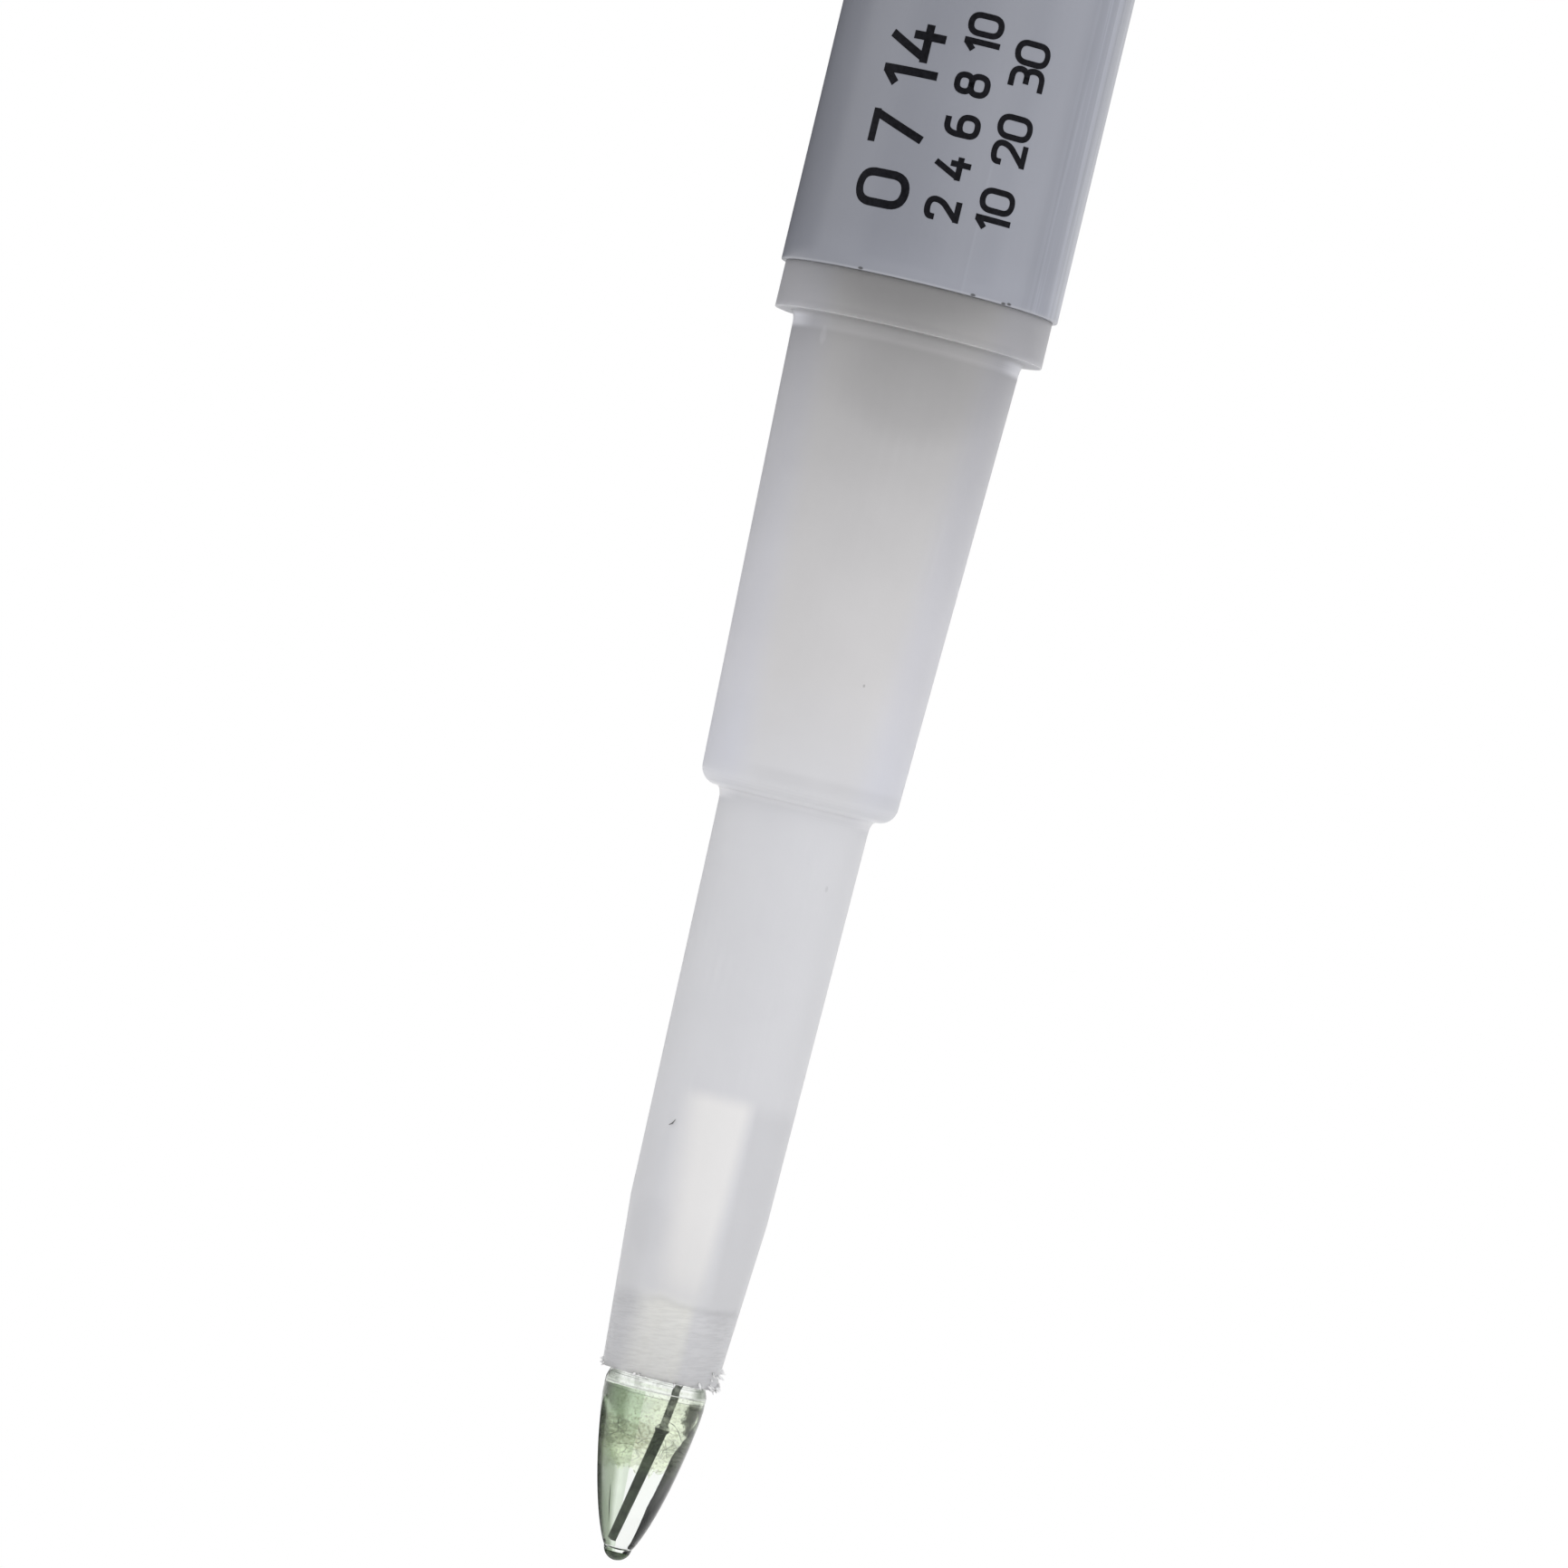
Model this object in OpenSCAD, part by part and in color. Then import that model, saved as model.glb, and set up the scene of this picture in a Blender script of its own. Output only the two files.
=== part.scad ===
/* [Glass tip] */
// Height of the sensing cone, from its point to its seam with the stem glass
cone_h = 10.2; // [9.6:0.1:10.8]
// Diameter of the glass at its rim, where the cone meets the stem glass
rim_d = 6.16; // [5.9:0.02:6.3]
// Radius of the solid round point at the very tip
point_r = 0.85; // [0.7:0.05:0.95]
// Height of solid glass under the cavity
point_h = 0.72; // [0.6:0.02:0.9]
// Wall of the sensing glass
cone_t = 0.35; // [0.25:0.05:0.45]
// Length of stem glass that shows between the seam and the plastic
rim_show = 1.1; // [0.8:0.1:1.4]

/* [Glass stem] */
// Outside diameter of the stem glass inside the body
tube_d = 4.2; // [4:0.1:4.6]
// Bore of the stem glass
tube_bore_d = 3.2; // [3:0.1:3.4]
// Height of the stem glass's open top above the point
tube_top_z = 36; // [34:0.5:38]
// Height above the point at which the stopper closes the stem glass
stopper_z = 28.4; // [27:0.2:30]
// Level of the filling above the point
buffer_z = 16.2; // [15.8:0.2:20]

/* [Plastic body] */
// Distance from the point to the underside of the collar
insertion_l = 75; // [72:1:85]
// Length of the nose cone
nose_l = 10.2; // [8:0.2:12]
// Wall of the plastic at its open lower end
nose_t = 0.275; // [0.2:0.025:0.35]
// Width of the open ring of gel between the glass and the plastic
junction_gap = 0.12; // [0.1:0.01:0.2]
// Diameter of the stem at the top of the nose cone
stem_low_d = 8.35; // [8.2:0.05:8.6]
// Diameter of the stem under the barrel
stem_high_d = 9.15; // [9:0.05:9.4]
// Length of the barrel
barrel_l = 28.6; // [26:0.2:30]
// Diameter of the barrel above its rounded lower corner
barrel_low_d = 12; // [11.8:0.1:12.4]
// Diameter of the barrel under the collar
barrel_high_d = 13.85; // [13.5:0.05:14.1]
// Height of the collar
collar_h = 2.8; // [2.4:0.1:3.4]
// Bore through the stem
stem_bore_d = 6.6; // [6.5:0.05:6.8]
// Bore of the reservoir in the barrel and spigot
reservoir_d = 9.8; // [9.4:0.1:10]

/* [Head] */
// Outside diameter of the head's shell, under the sleeve
head_d = 16.3; // [16:0.05:16.4]
// Length of the head's straight part
head_l = 34.5; // [32:0.5:40]
// Wall of the head's shell
head_t = 0.8; // [0.7:0.05:0.95]
// Thickness of the shrink sleeve
sleeve_t = 0.325; // [0.25:0.025:0.4]
// Diameter of the neck that the cable leaves through
neck_d = 9.4; // [9:0.1:10]
// Length of the neck
neck_l = 5.6; // [5:0.2:7]
// Bore of the cable inlet
cable_d = 3.5; // [3:0.1:4]

/* [Hidden] */
$fn = 96;

// Radial clearance between the spigot and the head's shell
fit_gap = 0.05;
// Overrun of a cutting solid past the face that it opens
past = 1;

// Heights above the point of the glass
nose_z = cone_h + rim_show;
stem_z = nose_z + nose_l;
barrel_z = insertion_l - barrel_l;
collar_top_z = insertion_l + collar_h;
spigot_l = 7.2;
spigot_top_z = collar_top_z + spigot_l;
shoulder_z = collar_top_z + head_l;

// Curve of the sensing cone: it reaches its full width a little under the seam
cone_full_below = 0.4;
cone_full_z = cone_h - cone_full_below;
cone_p = 1.2;
cone_q = 0.55;
cone_steps = 24;
rim_r = rim_d / 2;
rim_band = 0.3;
neck_in = 0.18;
neck_glass_r = rim_r - neck_in;

// The stem glass draws in from its rim to the tube over this stretch
draw_below = 0.6;
draw_l = 3.9;
draw_lag = 0.4;
draw_low_z = nose_z + draw_below;
draw_high_z = draw_low_z + draw_l;
draw_steps = 10;
tube_r = tube_d / 2;
tube_bore_r = tube_bore_d / 2;

// Plastic body
nose_bore_r = rim_r + junction_gap;
nose_r = nose_bore_r + nose_t;
stem_bore_r = stem_bore_d / 2;
bore_step_above = 0.2;
bore_step_z = draw_high_z + bore_step_above;
reservoir_r = reservoir_d / 2;
reservoir_rise = 0.5;
reservoir_slope = 1.6;
reservoir_low_z = barrel_z + reservoir_rise;
reservoir_high_z = reservoir_low_z + reservoir_slope;
root_w = 0.3;
root_h = 0.8;
corner_r = 1.1;
spigot_r = head_d / 2 - head_t - fit_gap;
spigot_edge = 0.6;
collar_proud = 0.025;
collar_r = head_d / 2 + collar_proud;

// Snap bead on the spigot and its groove in the shell
snap_rise = 4.6;
snap_z = collar_top_z + snap_rise;
snap_h = 0.3;
snap_w = 1.6;

// Sensing rod: places of its two ends, as [across, up], and its radii there
rod_end = [-0.36, 1.32];
rod_below_seam = 1.8;
rod_top = [0.7, cone_h - rod_below_seam];
rod_end_r = 0.2;
rod_top_r = 0.27;
rod_cut_tilt = 35;
bead_r = 0.34;
wire_r = 0.18;
wire_bend_r = 0.2;
wire_bend_low = [1.02, nose_z];
wire_bend_high = [0.95, draw_high_z];
wire_centre_rise = 8.5;
wire_centre_z = draw_high_z + wire_centre_rise;

// Leads and what they end in
lead_r = 0.7;
lead_bore_r = 0.25;
lead_socket = 4.2;
stopper_lip = 1.2;
ring_below_top = 6;
ring_z = tube_top_z - ring_below_top;
ring_h = 3;
ring_notch_r = 0.8;
gel_rise = 11.6;
gel_top_z = barrel_z + gel_rise;
gel_recess = 0.08;
ref_y = 2.65;
ref_rod_r = 0.45;
ref_rod_above_tube = 2.6;
ref_rod_z = tube_top_z + ref_rod_above_tube;
ref_rod_l = 8;
ref_wire_r = 0.25;
ref_lead_r = 0.6;
ref_lead_bore_r = 0.3;
bung_h = 6;
air_gap = 4;
bung_z = gel_top_z + air_gap;
lead_below_bung = 1.5;
ferrule_above_collar = 2.5;
ferrule_z = insertion_l + ferrule_above_collar;
ferrule_l = 7;
ferrule_grip = 3;
core_ferrule_r = 1;
core_mouth_r = 0.5;
screen_ferrule_r = 1.1;
screen_mouth_r = 0.7;
pocket_r = 4.1;
ferrule_stand = 0.6;
pocket_z = ferrule_z + ferrule_l - ferrule_stand;
potting_step = 0.4;
potting_rise = 7;
potting_top_z = spigot_top_z + potting_rise;

// Head
shell_bore_r = head_d / 2 - head_t;
shoulder_r = (head_d - neck_d) / 2;
neck_z = shoulder_z + shoulder_r;
neck_top_z = neck_z + neck_l;
neck_edge = 0.5;
neck_foot = 0.1;
shoulder_step = 8;
shoulder_steps = 10;
curl_steps = 4;
curl_angle = shoulder_step * curl_steps;
bush_t = 1.15;
bush_r = cable_d / 2 + bush_t;
bush_flange_w = 1;
bush_flange_r = bush_r + bush_flange_w;
bush_flange_h = 1.4;
bush_stand = 0.6;
bush_mouth = 0.35;
seat_below_neck = 0.4;
seat_z = neck_z - seat_below_neck;
shell_taper_below = 2;

// Points of an elliptical arc about (cr, cz), from angle a0 to angle a1
function arc(cr, cz, ar, az, a0, a1, n = 8) =
    [for (i = [0:n]) let (a = a0 + (a1 - a0) * i / n) [cr + ar * cos(a), cz + az * sin(a)]];

// A value that eases from a to b as t goes from 0 to 1
function ease(a, b, t) = a + (b - a) * (1 - cos(180 * t)) / 2;

// Points of a wall that eases from radius r0 at height z0 to radius r1 at height z1
function draw_in(r0, z0, r1, z1) =
    [for (i = [0:draw_steps]) let (t = i / draw_steps) [ease(r0, r1, t), z0 + (z1 - z0) * t]];

// Outside radius of the sensing cone at height z: a round point that runs into a taper
function point_at(z) = z < point_r ? sqrt(pow(point_r, 2) - pow(point_r - z, 2)) : 0;
function taper_at(z) =
    rim_r * pow(1 - pow(1 - min(1, z / cone_full_z), cone_p), cone_q);
function cone_at(z) = max(point_at(z), taper_at(z));

// Outside of the cone, with its rings closer together near the point
function cone_wall() =
    [for (i = [0:cone_steps]) let (z = cone_h * pow(i / cone_steps, 2)) [cone_at(z), z]];

// Inside of the cone: a round floor, then a wall of even thickness
floor_h = 0.5;
floor_z = point_h + floor_h;
function cavity_wall() = concat(
    arc(0, floor_z, cone_at(floor_z) - cone_t, floor_h, -90, 0, 6),
    [for (i = [1:cone_steps])
        let (z = floor_z + (cone_h - floor_z) * i / cone_steps) [cone_at(z) - cone_t, z]]);

// Inside of the stem glass, up to height z
function tube_inside(z) = concat(
    draw_in(rim_r - cone_t, cone_h, tube_bore_r, draw_high_z - draw_lag),
    [[tube_bore_r, z]]);

// Outside of the stem glass, up to its top
function tube_outside() = concat(
    [[rim_r, cone_h], [rim_r, cone_h + rim_band], [neck_glass_r, nose_z]],
    draw_in(neck_glass_r, draw_low_z, tube_r, draw_high_z),
    [[tube_r, tube_top_z]]);

function reversed(list) = [for (i = [len(list) - 1:-1:0]) list[i]];

// A straight round rod between two places in the plane of the view, given as [across, up]
module rod(a, b, ra, rb) {
    d = b - a;
    translate([a[0], 0, a[1]])
        rotate([0, atan2(d[0], d[1]), 0])
            cylinder(r1 = ra, r2 = rb, h = norm(d));
}

// An upright cylinder from z0 to z1
module post(r, z0, z1) {
    translate([0, 0, z0])
        cylinder(r = r, h = z1 - z0);
}

module at_reference() {
    translate([0, ref_y, 0])
        children();
}

// Solid outside of the whole glass stem, which the gel and the ring close round
module tube_solid() {
    rotate_extrude()
        polygon(concat([[0, cone_h]], tube_outside(), [[0, tube_top_z]]));
}

module membrane_glass() {
    color([0.78, 0.86, 0.74, 0.5])
        rotate_extrude()
            polygon(concat(cone_wall(), reversed(cavity_wall())));
}

module glass_stem() {
    color([0.86, 0.9, 0.86, 0.5])
        rotate_extrude()
            polygon(concat(tube_outside(), reversed(tube_inside(tube_top_z))));
}

// The rod's lower end is cut off at a slant
module rod_solid() {
    difference() {
        rod(rod_end, rod_top, rod_end_r, rod_top_r);
        translate([rod_end[0], 0, rod_end[1]])
            rotate([0, rod_cut_tilt, 0])
                translate([-past, -past, -2 * past])
                    cube([2 * past, 2 * past, 2 * past]);
    }
}

module wire_solid() {
    rod(rod_top, wire_bend_low, wire_r, wire_r);
    rod(wire_bend_low, wire_bend_high, wire_r, wire_r);
    rod(wire_bend_high, [0, wire_centre_z], wire_r, wire_r);
    post(wire_r, wire_centre_z, ferrule_z + ferrule_grip);
    for (bend = [wire_bend_low, wire_bend_high, [0, wire_centre_z]])
        translate([bend[0], 0, bend[1]])
            sphere(r = wire_bend_r);
}

module bead_solid() {
    translate([rod_top[0], 0, rod_top[1]])
        sphere(r = bead_r);
}

module sensing_rod() {
    color([0.2, 0.24, 0.2])
        rod_solid();
}

module joint_bead() {
    color([0.7, 0.75, 0.68, 0.6])
        difference() {
            bead_solid();
            rod_solid();
            wire_solid();
        }
}

module sensing_wire() {
    color([0.72, 0.72, 0.7])
        difference() {
            wire_solid();
            rod_solid();
        }
}

module inner_buffer() {
    color([0.8, 0.86, 0.78, 0.4])
        difference() {
            rotate_extrude()
                polygon(concat(cavity_wall(), tube_inside(buffer_z), [[0, buffer_z]]));
            rod_solid();
            bead_solid();
            wire_solid();
        }
}

// The stopper has a lip over the glass's top and a socket for the lead sleeve
module stem_stopper() {
    color([0.55, 0.55, 0.56])
        difference() {
            union() {
                post(tube_bore_r, stopper_z, tube_top_z);
                post(tube_r, tube_top_z, tube_top_z + stopper_lip);
            }
            post(wire_r, stopper_z - past, tube_top_z);
            post(lead_r, tube_top_z + stopper_lip - lead_socket, tube_top_z + stopper_lip + past);
        }
}

module centring_ring() {
    color([0.88, 0.88, 0.86])
        difference() {
            post(stem_bore_r, ring_z, ring_z + ring_h);
            post(tube_r, ring_z - past, ring_z + ring_h + past);
            for (turn = [30, 150, 270])
                rotate([0, 0, turn])
                    translate([stem_bore_r, 0, 0])
                        post(ring_notch_r, ring_z - past, ring_z + ring_h + past);
        }
}

module sensing_lead_sleeve() {
    color([0.92, 0.92, 0.9])
        difference() {
            post(lead_r, tube_top_z + stopper_lip - lead_socket, ferrule_z);
            post(lead_bore_r, tube_top_z + stopper_lip - lead_socket - past, ferrule_z + past);
        }
}

// Outside of the plastic: nose cone, stem, barrel, collar and spigot
function body_outside() = concat(
    [[nose_r, nose_z], [stem_low_d / 2, stem_z], [stem_high_d / 2, barrel_z - root_h]],
    reversed(arc(stem_high_d / 2 + root_w, barrel_z - root_h, root_w, root_h, 90, 180)),
    arc(barrel_low_d / 2 - corner_r, barrel_z + corner_r, corner_r, corner_r, -90, 0),
    [[barrel_high_d / 2, insertion_l - root_h]],
    reversed(arc(barrel_high_d / 2 + root_w, insertion_l - root_h, root_w, root_h, 90, 180)),
    [[collar_r, insertion_l], [collar_r, collar_top_z], [spigot_r, collar_top_z],
     [spigot_r, snap_z - snap_w / 2], [spigot_r + snap_h, snap_z],
     [spigot_r, snap_z + snap_w / 2], [spigot_r, spigot_top_z - spigot_edge],
     [spigot_r - spigot_edge, spigot_top_z]]);

// Inside of the plastic: the nose's bore, the stem's bore and the reservoir
function body_inside() =
    [[nose_bore_r, nose_z], [stem_bore_r, bore_step_z], [stem_bore_r, reservoir_low_z],
     [reservoir_r, reservoir_high_z], [reservoir_r, spigot_top_z]];

module outer_body() {
    color([0.9, 0.9, 0.9])
        rotate_extrude()
            polygon(concat(body_outside(), reversed(body_inside())));
}

// The gel fills the bore round everything that stands in it, up to its level
module reference_gel() {
    color([0.86, 0.88, 0.84, 0.6])
        difference() {
            rotate_extrude()
                polygon([[0, nose_z + gel_recess],
                         [nose_bore_r + (stem_bore_r - nose_bore_r) * gel_recess
                            / (bore_step_z - nose_z), nose_z + gel_recess],
                         [stem_bore_r, bore_step_z], [stem_bore_r, reservoir_low_z],
                         [reservoir_r, reservoir_high_z], [reservoir_r, gel_top_z],
                         [0, gel_top_z]]);
            tube_solid();
            post(tube_r, tube_top_z, tube_top_z + stopper_lip);
            post(lead_r, tube_top_z, gel_top_z + past);
            centring_ring();
            at_reference() {
                reference_rod_solid();
                post(ref_wire_r, ref_rod_z + ref_rod_l, gel_top_z + past);
            }
        }
}

module reference_rod_solid() {
    post(ref_rod_r, ref_rod_z + ref_rod_r, ref_rod_z + ref_rod_l);
    translate([0, 0, ref_rod_z + ref_rod_r])
        sphere(r = ref_rod_r);
}

module reference_rod() {
    color([0.36, 0.34, 0.36])
        at_reference()
            reference_rod_solid();
}

module reference_wire() {
    color([0.75, 0.75, 0.73])
        at_reference()
            post(ref_wire_r, ref_rod_z + ref_rod_l, ferrule_z + ferrule_grip);
}

module reference_lead_sleeve() {
    color([0.92, 0.92, 0.9])
        at_reference()
            difference() {
                post(ref_lead_r, bung_z - lead_below_bung, ferrule_z);
                post(ref_lead_bore_r, bung_z - lead_below_bung - past, ferrule_z + past);
            }
}

module body_bung() {
    color([0.3, 0.3, 0.31])
        difference() {
            post(reservoir_r, bung_z, bung_z + bung_h);
            post(lead_r, bung_z - past, bung_z + bung_h + past);
            at_reference()
                post(ref_lead_r, bung_z - past, bung_z + bung_h + past);
        }
}

// A ferrule grips its wire in the lower part and is open to the cable in the upper part
module ferrule(r, grip_r, mouth_r) {
    difference() {
        post(r, ferrule_z, ferrule_z + ferrule_l);
        post(grip_r, ferrule_z - past, ferrule_z + ferrule_grip + past);
        post(mouth_r, ferrule_z + ferrule_grip, ferrule_z + ferrule_l + past);
    }
}

module core_ferrule() {
    color([0.8, 0.68, 0.38])
        ferrule(core_ferrule_r, wire_r, core_mouth_r);
}

module screen_ferrule() {
    color([0.8, 0.68, 0.38])
        at_reference()
            ferrule(screen_ferrule_r, ref_wire_r, screen_mouth_r);
}

// The resin fills the spigot and the foot of the shell, round a pocket for the cable's end
module potting() {
    color([0.16, 0.16, 0.17])
        difference() {
            rotate_extrude()
                polygon([[0, bung_z + bung_h], [reservoir_r, bung_z + bung_h],
                         [reservoir_r, spigot_top_z], [spigot_r - spigot_edge, spigot_top_z],
                         [spigot_r - spigot_edge, spigot_top_z + potting_step],
                         [shell_bore_r, spigot_top_z + potting_step],
                         [shell_bore_r, potting_top_z], [pocket_r, potting_top_z],
                         [pocket_r, pocket_z], [0, pocket_z]]);
            post(lead_r, bung_z, ferrule_z);
            post(core_ferrule_r, ferrule_z, ferrule_z + ferrule_l);
            at_reference() {
                post(ref_lead_r, bung_z, ferrule_z);
                post(screen_ferrule_r, ferrule_z, ferrule_z + ferrule_l);
            }
        }
}

module head_shell() {
    color([0.62, 0.64, 0.68])
        rotate_extrude()
            polygon(concat(
                [[head_d / 2, collar_top_z]],
                arc(neck_d / 2, shoulder_z, shoulder_r, shoulder_r, 0, shoulder_step * shoulder_steps,
                    shoulder_steps),
                [[neck_d / 2, neck_z + neck_foot], [neck_d / 2, neck_top_z - neck_edge]],
                arc(neck_d / 2 - neck_edge, neck_top_z - neck_edge, neck_edge, neck_edge,
                    0, 90, 5),
                [[bush_r, neck_top_z], [bush_r, seat_z], [bush_flange_r, seat_z],
                 [bush_flange_r, seat_z - bush_flange_h],
                 [shell_bore_r, shoulder_z - shell_taper_below], [shell_bore_r, snap_z + snap_w / 2],
                 [shell_bore_r + snap_h, snap_z], [shell_bore_r, snap_z - snap_w / 2],
                 [shell_bore_r, collar_top_z]]));
}

// The sleeve grips the shell and curls in a little over its shoulder
module label_sleeve() {
    color([0.58, 0.6, 0.64])
        rotate_extrude()
            polygon(concat(
                [[head_d / 2, collar_top_z]],
                arc(neck_d / 2, shoulder_z, shoulder_r, shoulder_r, 0, curl_angle, curl_steps),
                reversed(arc(neck_d / 2, shoulder_z, shoulder_r + sleeve_t,
                             shoulder_r + sleeve_t, 0, curl_angle, curl_steps)),
                [[head_d / 2 + sleeve_t, collar_top_z]]));
}

// The bush's flange seats under the neck, and its mouth is rounded for the cable
module cable_inlet_bush() {
    color([0.12, 0.12, 0.13])
        difference() {
            union() {
                post(bush_r, seat_z, neck_top_z + bush_stand);
                post(bush_flange_r, seat_z - bush_flange_h, seat_z);
            }
            post(cable_d / 2, seat_z - bush_flange_h - past, neck_top_z + bush_stand + past);
            translate([0, 0, neck_top_z + bush_stand - bush_mouth])
                cylinder(r1 = cable_d / 2, r2 = cable_d / 2 + bush_mouth, h = bush_mouth);
        }
}

outer_body();
membrane_glass();
glass_stem();
inner_buffer();
sensing_rod();
joint_bead();
sensing_wire();
stem_stopper();
centring_ring();
sensing_lead_sleeve();
reference_gel();
reference_rod();
reference_wire();
reference_lead_sleeve();
body_bung();
core_ferrule();
screen_ferrule();
potting();
head_shell();
label_sleeve();
cable_inlet_bush();
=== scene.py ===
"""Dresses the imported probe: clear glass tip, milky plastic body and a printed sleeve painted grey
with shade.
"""
import random
from math import asin, ceil, cos, degrees, dist, exp, pi, radians, sin, sqrt

import bmesh
import bpy
from bpy.props import FloatProperty, FloatVectorProperty, IntProperty, PointerProperty
from bpy.props import StringProperty
from bpy.types import Operator, Panel, PropertyGroup
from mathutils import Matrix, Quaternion, Vector, noise


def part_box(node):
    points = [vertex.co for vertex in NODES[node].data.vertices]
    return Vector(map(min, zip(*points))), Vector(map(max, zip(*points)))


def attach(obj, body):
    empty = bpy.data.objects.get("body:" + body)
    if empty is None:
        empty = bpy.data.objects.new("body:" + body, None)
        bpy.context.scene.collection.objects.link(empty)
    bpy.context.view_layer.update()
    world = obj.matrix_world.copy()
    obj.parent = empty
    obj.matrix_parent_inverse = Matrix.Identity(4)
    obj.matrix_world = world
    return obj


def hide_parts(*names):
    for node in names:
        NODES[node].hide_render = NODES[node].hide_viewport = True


bl_info = {
    "name": "Glass-tipped probe",
    "version": (1, 0, 0),
    "blender": (4, 5, 0),
    "location": "View3D > Sidebar > Probe",
    "description": "Finishes a probe with a glass tip, a milky body and a printed sleeve",
    "category": "Add Mesh",
}

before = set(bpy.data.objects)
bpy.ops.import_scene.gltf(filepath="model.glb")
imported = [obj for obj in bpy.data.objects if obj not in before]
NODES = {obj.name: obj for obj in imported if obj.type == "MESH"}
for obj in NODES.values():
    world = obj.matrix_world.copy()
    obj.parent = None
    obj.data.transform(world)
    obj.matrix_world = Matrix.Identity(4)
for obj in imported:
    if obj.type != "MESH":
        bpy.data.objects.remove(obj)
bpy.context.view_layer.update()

# Millimetre, in metres
MM = 0.001
# A length under this counts as none
TINY = 1e-6
# Sensing cone, as in the solid: round point, then a taper of these two powers
CONE_P = 1.2
CONE_Q = 0.55
FLOOR_H = 0.5
# Stem glass, as in the solid
RIM_BAND = 0.3
NOSE_Z = 11.3
DRAW_LOW_Z = 11.9
DRAW_HIGH_Z = 15.8
DRAW_LAG = 0.4
# Torn lip at the plastic's cut end
LIP_INNER_R = 3.205
LIP_OUTER_R = 3.47
# Sleeve's curl over the shoulder, as in the solid
NECK_R = 4.7
SHOULDER_R = 3.45
# Edges that bend by more than this stay sharp, in degrees
SHARP = 35.0
# Palest green that the glass shows of the cards
PALE_GREEN = (0.86, 0.93, 0.83)
# Strokes of the figures on a body one unit high: x, y and the radius of the corner there
DIGITS = {
    "0": (0.60, [([(0, 0, 0.28), (0.6, 0, 0.28), (0.6, 1, 0.28), (0, 1, 0.28)], True)]),
    "1": (0.40, [([(0.04, 0.76, 0), (0.30, 1.02, 0)], False),
                 ([(0.32, 1.09, 0), (0.32, -0.09, 0)], False)]),
    "2": (0.60, [([(0, 0.72, 0), (0, 1, 0.26), (0.58, 1, 0.28), (0.58, 0.58, 0.2),
                   (0.05, 0.03, 0)], False),
                 ([(-0.05, 0, 0), (0.64, 0, 0)], False)]),
    "3": (0.60, [([(0.02, 1, 0), (0.58, 1, 0.24), (0.58, 0.53, 0.22), (0.16, 0.53, 0)], False),
                 ([(0.3, 0.53, 0), (0.6, 0.53, 0.24), (0.6, 0, 0.27), (0, 0, 0)], False)]),
    "4": (0.64, [([(0.42, 1.07, 0), (0.03, 0.28, 0)], False),
                 ([(-0.07, 0.27, 0), (0.70, 0.27, 0)], False),
                 ([(0.46, 0.58, 0), (0.46, -0.09, 0)], False)]),
    "6": (0.60, [([(0, 0, 0.25), (0.6, 0, 0.25), (0.6, 0.58, 0.25), (0, 0.58, 0.25)], True),
                 ([(0.52, 1, 0), (0, 1, 0.4), (0, 0.3, 0)], False)]),
    "7": (0.60, [([(0, 1, 0), (0.67, 1, 0)], False), ([(0.59, 1, 0), (0.2, -0.08, 0)], False)]),
    "8": (0.60, [([(0.03, 0.53, 0.2), (0.57, 0.53, 0.2), (0.57, 1, 0.22), (0.03, 1, 0.22)], True),
                 ([(0, 0, 0.25), (0.6, 0, 0.25), (0.6, 0.53, 0.22), (0, 0.53, 0.22)], True)]),
}
LETTER_GAP = 0.2


def low(node):
    """Height of a CAD node's lowest point, in millimetres."""
    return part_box(node)[0].z / MM


def high(node):
    """Height of a CAD node's highest point, in millimetres."""
    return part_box(node)[1].z / MM


def width(node):
    """Largest distance of a CAD node from the middle to the right, in millimetres."""
    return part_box(node)[1].x / MM


def length(name, size, description):
    """A length that is given in millimetres and kept in metres."""
    return FloatProperty(name=name, default=size * MM, description=description, min=0.0,
                         precision=5, unit="LENGTH")


def angle(name, degrees, description):
    return FloatProperty(name=name, default=radians(degrees), description=description,
                         subtype="ANGLE")


def colour(name, shade, description):
    return FloatVectorProperty(name=name, default=shade, description=description, size=3,
                               subtype="COLOR", min=0.0, max=1.0)


def share(name, part, description):
    return FloatProperty(name=name, default=part, description=description, min=0.0, max=1.0,
                         subtype="FACTOR")


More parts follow.
